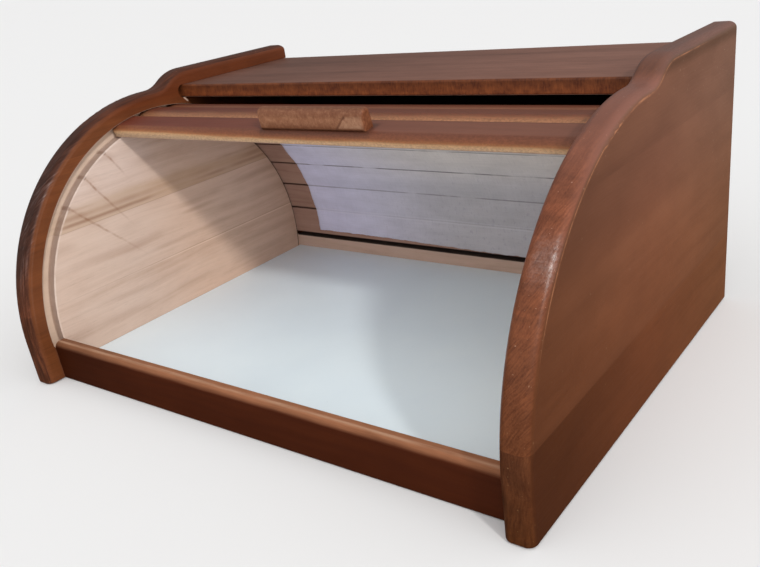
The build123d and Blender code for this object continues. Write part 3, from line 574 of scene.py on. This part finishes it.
def hardboard_material():
    S = Shader("hardboard", rough=0.75, spec=0.25)
    fib = S.noise(S.vec(S.mul(S.x, 1 / 1.4), S.mul(S.y, 1 / 1.4), S.mul(S.z, 1 / 1.4)), 1, 4, 0.7)
    cloud = S.noise(S.vec(S.mul(S.x, 1 / 60), S.mul(S.y, 1 / 60), S.mul(S.z, 1 / 60)), 1, 3)
    c = S.mix(S.remap(S.add(S.mul(fib, 0.6), S.mul(cloud, 0.4)), 0.3, 0.7, 0, 1), srgb(104, 72, 48), srgb(140, 102, 70))
    # the inner side is painted almost black: painted shade behind the tambour
    c = S.scale_col(c, S.remap(S.ny, -0.9, -0.5, 0.10, 1.0))
    # wire-mesh side of the board
    mesh = S.mul(S.m("ABSOLUTE", S.m("SINE", S.mul(S.x, math.pi / 1.6))), S.m("ABSOLUTE", S.m("SINE", S.mul(S.z, math.pi / 1.6))))
    return S.finish(c, S.remap(fib, 0.3, 0.7, 0.68, 0.85), S.add(S.mul(fib, 0.6), S.mul(mesh, 0.5)), 0.3, 0.00015)


def steel_material():
    S = Shader("zinc_steel", rough=0.38, spec=0.5)
    S.bsdf.inputs["Metallic"].default_value = 1.0
    n = S.noise(S.p, 0.9, 4, 0.6)
    c = S.mix(S.remap(n, 0.3, 0.7, 0, 1), srgb(138, 138, 134), srgb(182, 182, 178))
    return S.finish(c, S.remap(n, 0.3, 0.7, 0.3, 0.5), n, 0.1, 0.00005)


def cloth_material():
    S = Shader("backing_cloth", rough=0.85, spec=0.15, sheen=0.1)
    r, th = polar(S)
    s = S.mul(th, SLAT_R_IN * math.pi / 180)
    warp = S.m("SINE", S.mul(S.x, 2 * math.pi / 0.9))
    weft = S.m("SINE", S.mul(s, 2 * math.pi / 0.9))
    weave = S.add(S.mul(S.m("MULTIPLY", warp, weft), 0.5), 0.5)
    slub = S.noise(S.vec(S.mul(S.x, 1 / 30), S.mul(s, 1 / 0.8), 0.0), 1, 3, 0.6)
    slub2 = S.noise(S.vec(S.mul(S.x, 1 / 0.8), S.mul(s, 1 / 24), 3.0), 1, 3, 0.6)
    cloud = S.noise(S.vec(S.mul(S.x, 1 / 34), S.mul(s, 1 / 12), 5.0), 1, 4, 0.6)
    fleck = S.noise(S.vec(S.mul(S.x, 1 / 2.6), S.mul(s, 1 / 4.0), 8.0), 1, 3, 0.6)
    # painted light on white cloth: bluer on the left where shade falls, warmer and paler on the upper right where light
    # falls
    right = S.smooth(S.x, -150.0, 20.0)
    c = S.mix(right, srgb(216, 214, 238), srgb(208, 204, 208))
    c = S.mix(S.mul(S.mul(right, S.smooth(th, 160.0, 140.0)), 0.6), c, srgb(232, 222, 212))
    c = S.scale_col(c, S.remap(cloud, 0.3, 0.7, 0.91, 1.07))
    low = S.smooth(th, 150.0, 172.0)
    # painted shade: darker low on the right
    c = S.scale_col(c, S.remap(S.mul(right, S.smooth(th, 150.0, 160.0)), 0.0, 1.0, 1.04, 0.88))
    c = S.scale_col(c, S.remap(S.add(slub, slub2), 0.75, 1.25, 0.95, 1.04))
    c = S.scale_col(c, S.remap(weave, 0.0, 1.0, 0.95, 1.02))
    c = S.mix(S.mul(S.mul(S.smooth(fleck, 0.56, 0.70), right), S.remap(low, 0, 1, 0.12, 0.30)), c, srgb(140, 128, 152))
    # gaps between the slats show through at some of the joints, glue hides the others
    k = S.mul(S.sub(th, LEAD_EDGE + LEAD_PITCH), 1 / PITCH)
    near = S.m("ROUND", k)
    d = S.mul(S.m("ABSOLUTE", S.sub(k, near)), PITCH * SLAT_R_IN * math.pi / 180)
    force = steps(S, S.add(near, 0.5), 12.0, [(0.0, 0.8), (5.0, 0.62), (6.0, 0.85), (7.0, 0.55), (8.0, 0.10), (9.0, 0.06)])
    breaks = S.smooth(S.noise(S.vec(S.mul(S.x, 1 / 26), S.mul(near, 3.3), 1.7), 1, 2), 0.36, 0.50)
    c = S.mix(S.mul(S.mul(S.smooth(d, 0.85, 0.15), force), S.remap(breaks, 0, 1, 0.15, 0.9)), c, srgb(84, 72, 76))
    # painted highlight: a pale line along a ridge beside the later joints
    ridge = S.mul(S.band(d, 0.6, 1.6, 0.4), S.smooth(near, 7.4, 7.6))
    c = S.mix(S.mul(ridge, 0.18), c, srgb(236, 234, 242))
    h = S.add(S.mul(weave, 0.5), S.add(S.mul(slub, 0.5), S.mul(slub2, 0.5)))
    return S.finish(c, None, h, 0.3, 0.0002)


def paint(name, mat):
    o = nodes[name]
    if not o.material_slots:
        o.data.materials.append(mat)
    for s in o.material_slots:
        s.link = "OBJECT"
        s.material = mat


paint("left_side_panel", side_material("left_panel_wood", 1.3, True))
paint("right_side_panel", side_material("right_panel_wood", 2.9, False))
paint("top_shelf", shelf_material())
paint("front_rail", front_rail_material())
paint("rear_rail", bare_wood_material("rear_rail_wood", 5.1, 18.5))
dowel_wood = bare_wood_material("dowel_wood", 6.4)
paint("front_rail_dowels", dowel_wood)
paint("rear_rail_dowels", dowel_wood)
paint("floor_panel", floor_material())
paint("back_panel", hardboard_material())
steel = steel_material()
paint("back_nails", steel)
paint("handle_screws", steel)
paint("slat_01_lead", slat_material("lead_slat_wood", 3.3, True))
slat_wood = slat_material("slat_wood", 8.6, False)
for i in range(2, COUNT + 1):
    paint(f"slat_{i:02d}", slat_wood)
paint("handle", handle_material())


# ------------------------------------------------------------------ cloth backing
def build_cloth():
    mids = [LEAD_EDGE + LEAD_PITCH / 2] + [LEAD_EDGE + LEAD_PITCH + PITCH * (i + 0.5) for i in range(COUNT - 1)]

    def corner(r, i):
        a, b = math.radians(mids[i]), math.radians(mids[i + 1])
        q, rr = (a + b) / 2, r / math.cos((b - a) / 2)
        return (AXIS_Y - rr * math.cos(q), AXIS_Z + rr * math.sin(q))

    def face(r, i, u):
        a = math.radians(mids[i])
        return (AXIS_Y - r * math.cos(a) - u * math.sin(a), AXIS_Z + r * math.sin(a) - u * math.cos(a))

    r = SLAT_R_IN - 0.06
    path = [face(r, 0, 6.8)] + [corner(r, i) for i in range(COUNT - 1)] + [face(r, COUNT - 1, -10.2)]
    seg = [math.dist(path[i], path[i + 1]) for i in range(len(path) - 1)]
    total = sum(seg)
    joints = [sum(seg[: i + 1]) for i in range(COUNT - 1)]

    def on_path(s):
        for i, L in enumerate(seg):
            if s <= L or i == len(seg) - 1:
                t = s / L
                a, b = path[i], path[i + 1]
                y, z = a[0] + (b[0] - a[0]) * t, a[1] + (b[1] - a[1]) * t
                ty, tz = (b[0] - a[0]) / L, (b[1] - a[1]) / L
                return y, z, tz, -ty  # towards the axis
            s -= L

    nx, ns = 170, 250
    xs = [-151 + 302 * i / nx for i in range(nx + 1)]
    verts, faces = [], []
    for j in range(ns + 1):
        for i, x in enumerate(xs):
            s = total * j / ns
            # the lower hem isn't cut straight
            tail = s / total
            cut = 2.6 * (0.5 - 0.5 * math.tanh((x + 40) / 60)) + 0.5 * noise.noise(Vector((x / 9, 0.3, 0))) + 0.3 * noise.noise(Vector((x / 2.2, 4.3, 0)))
            cut += 1.3 * max(0.0, noise.noise(Vector((x / 3.1, 6.3, 0)))) * max(0.0, math.tanh((x - 30) / 25)) - 1.1 * (0.5 + 0.5 * math.tanh((x - 20) / 40))
            s = s - max(-1.2, cut) * max(0.0, (tail - 0.9) / 0.1)
            side = 1.0 * noise.noise(Vector((s / 16, 7.1, 0))) + 0.5 * noise.noise(Vector((s / 4, 9.1, 0)))
            xx = x * (1 - 0.004) + (side * (abs(x) / 151) ** 8)
            y, z, iy, iz = on_path(s)
            d = min(abs(s - q) for q in joints)
            lift = 0.24 + 0.10 * noise.noise(Vector((x / 7, s / 7, 1.0))) + 0.07 * noise.noise(Vector((x / 2.5, s / 2.5, 5.0)))
            lift += 0.16 * max(0.0, noise.noise(Vector((x / 30, s / 12, 8.0))))
            lift -= 0.22 * math.exp(-((d / 0.9) ** 2))
            edge = min(151 - abs(x), total - s)
            lift += 0.18 * math.exp(-edge / 1.5) * max(0.0, noise.noise(Vector((x / 6, s / 6, 3.0))) + 0.3)
            lift = max(0.05, min(lift, 0.55))
            verts.append((xx / 1000, (y + iy * lift) / 1000, (z + iz * lift) / 1000))
    n = nx + 1
    for j in range(ns):
        for i in range(nx):
            a = j * n + i
            faces.append((a, a + 1, a + n + 1, a + n))
    me = bpy.data.meshes.new("backing_cloth")
    me.from_pydata(verts, [], faces)
    me.update()
    ob = bpy.data.objects.new("backing_cloth", me)
    bpy.context.scene.collection.objects.link(ob)
    for p in me.polygons:
        p.use_smooth = True
    # faces look towards the axis
    p = me.polygons[len(me.polygons) // 2]
    toward = Vector((0, AXIS_Y / 1000, AXIS_Z / 1000)) - p.center
    toward.x = 0
    if p.normal.dot(toward) < 0:
        me.flip_normals()
    so = ob.modifiers.new("thickness", "SOLIDIFY")
    so.thickness = 0.00005
    so.offset = -1.0
    me.materials.append(cloth_material())
    return ob, total


cloth, cloth_len = build_cloth()
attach(cloth, "tambour")
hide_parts("tambour_cloth")

# ------------------------------------------------------------------ stage, light, camera
me = bpy.data.meshes.new("studio_floor")
# flat, and rising gently far away, so that no horizon shows
ring = [(sx * a, sy * a, z) for a, z in ((40, -0.0004), (90, 1.75)) for sx, sy in ((-1, -1), (1, -1), (1, 1), (-1, 1))]
me.from_pydata(ring, [], [(0, 1, 2, 3)] + [(i, i + 4, (i + 1) % 4 + 4, (i + 1) % 4) for i in range(4)])
stage = bpy.data.objects.new("studio_floor", me)
bpy.context.scene.collection.objects.link(stage)
S = Shader("studio_floor", rough=0.9, spec=0.1)
S.finish((0.86, 0.86, 0.86, 1.0))
me.materials.append(S.mat)

stage.visible_glossy = False

# soft studio sky: bright above, dim below the horizon
world = bpy.data.worlds.new("studio")
bpy.context.scene.world = world
world.use_nodes = True
wt = world.node_tree
bg = wt.nodes["Background"]
gen = wt.nodes.new("ShaderNodeTexCoord")
sep = wt.nodes.new("ShaderNodeSeparateXYZ")
wt.links.new(gen.outputs["Generated"], sep.inputs[0])
mr = wt.nodes.new("ShaderNodeMapRange")
mr.inputs[1].default_value, mr.inputs[2].default_value = -1.0, 1.0
wt.links.new(sep.outputs[2], mr.inputs[0])
cr = wt.nodes.new("ShaderNodeValToRGB")
el = cr.color_ramp.elements
el[0].position, el[0].color = 0.0, (0.05, 0.05, 0.05, 1)
el[1].position, el[1].color = 1.0, (1.0, 1.0, 1.0, 1)
for pos, v in ((0.47, 0.10), (0.52, 0.62), (0.65, 0.80)):
    e = el.new(pos)
    e.color = (v, v, v * 1.01, 1)
wt.links.new(mr.outputs[0], cr.inputs[0])
wt.links.new(cr.outputs[0], bg.inputs[0])
# brighter to the front and to the right, dimmer behind and to the left
side = wt.nodes.new("ShaderNodeMath")
side.operation = "SUBTRACT"
wt.links.new(sep.outputs[0], side.inputs[0])
wt.links.new(sep.outputs[1], side.inputs[1])
level = wt.nodes.new("ShaderNodeMath")
level.operation = "MULTIPLY_ADD"
level.inputs[1].default_value, level.inputs[2].default_value = 0.50, 0.93
wt.links.new(side.outputs[0], level.inputs[0])
floor_level = wt.nodes.new("ShaderNodeMath")
floor_level.operation = "MAXIMUM"
floor_level.inputs[1].default_value = 0.25
wt.links.new(level.outputs[0], floor_level.inputs[0])
wt.links.new(floor_level.outputs[0], bg.inputs[1])
# seen directly, the backdrop above the floor is plain and pale
plain = wt.nodes.new("ShaderNodeBackground")
plain.inputs[0].default_value = (0.88, 0.88, 0.88, 1)
path = wt.nodes.new("ShaderNodeLightPath")
either = wt.nodes.new("ShaderNodeMixShader")
wt.links.new(path.outputs["Is Camera Ray"], either.inputs[0])
wt.links.new(bg.outputs[0], either.inputs[1])
wt.links.new(plain.outputs[0], either.inputs[2])
wt.links.new(either.outputs[0], wt.nodes["World Output"].inputs[0])

key = bpy.data.lights.new("key", "SUN")
key.energy = 1.15
key.angle = math.radians(5.0)
key.color = (1.0, 0.985, 0.96)
ko = bpy.data.objects.new("key", key)
ko.rotation_euler = Vector((0.763, -0.372, 0.528)).to_track_quat("Z", "Y").to_euler()
ko.location = (1.5, -0.75, 1.05)
bpy.context.scene.collection.objects.link(ko)

cam = bpy.data.cameras.new("camera")
cam.sensor_fit = "HORIZONTAL"
cam.sensor_width = 36.0
cam.lens = 816.79 * 36.0 / 760.0
cam.shift_x = (380.0 - 404.57) / 760.0
cam.shift_y = (317.31 - 283.5) / 760.0
cam.clip_start = 0.01
cam.clip_end = 1000.0
co = bpy.data.objects.new("camera", cam)
r = Vector((0.81314808, 0.56954002, -0.12005987))
u = Vector((-0.14882496, 0.40285294, 0.90308396))
fwd = Vector((-0.56270892, 0.71647308, -0.41234087))
loc = Vector((0.335470, -0.393144, 0.248322))
co.matrix_world = Matrix((
    (r.x, u.x, -fwd.x, loc.x),
    (r.y, u.y, -fwd.y, loc.y),
    (r.z, u.z, -fwd.z, loc.z),
    (0, 0, 0, 1),
))
bpy.context.scene.collection.objects.link(co)
bpy.context.scene.camera = co

sc = bpy.context.scene
sc.view_settings.view_transform = "Standard"
sc.view_settings.look = "None"
sc.view_settings.exposure = 0.0
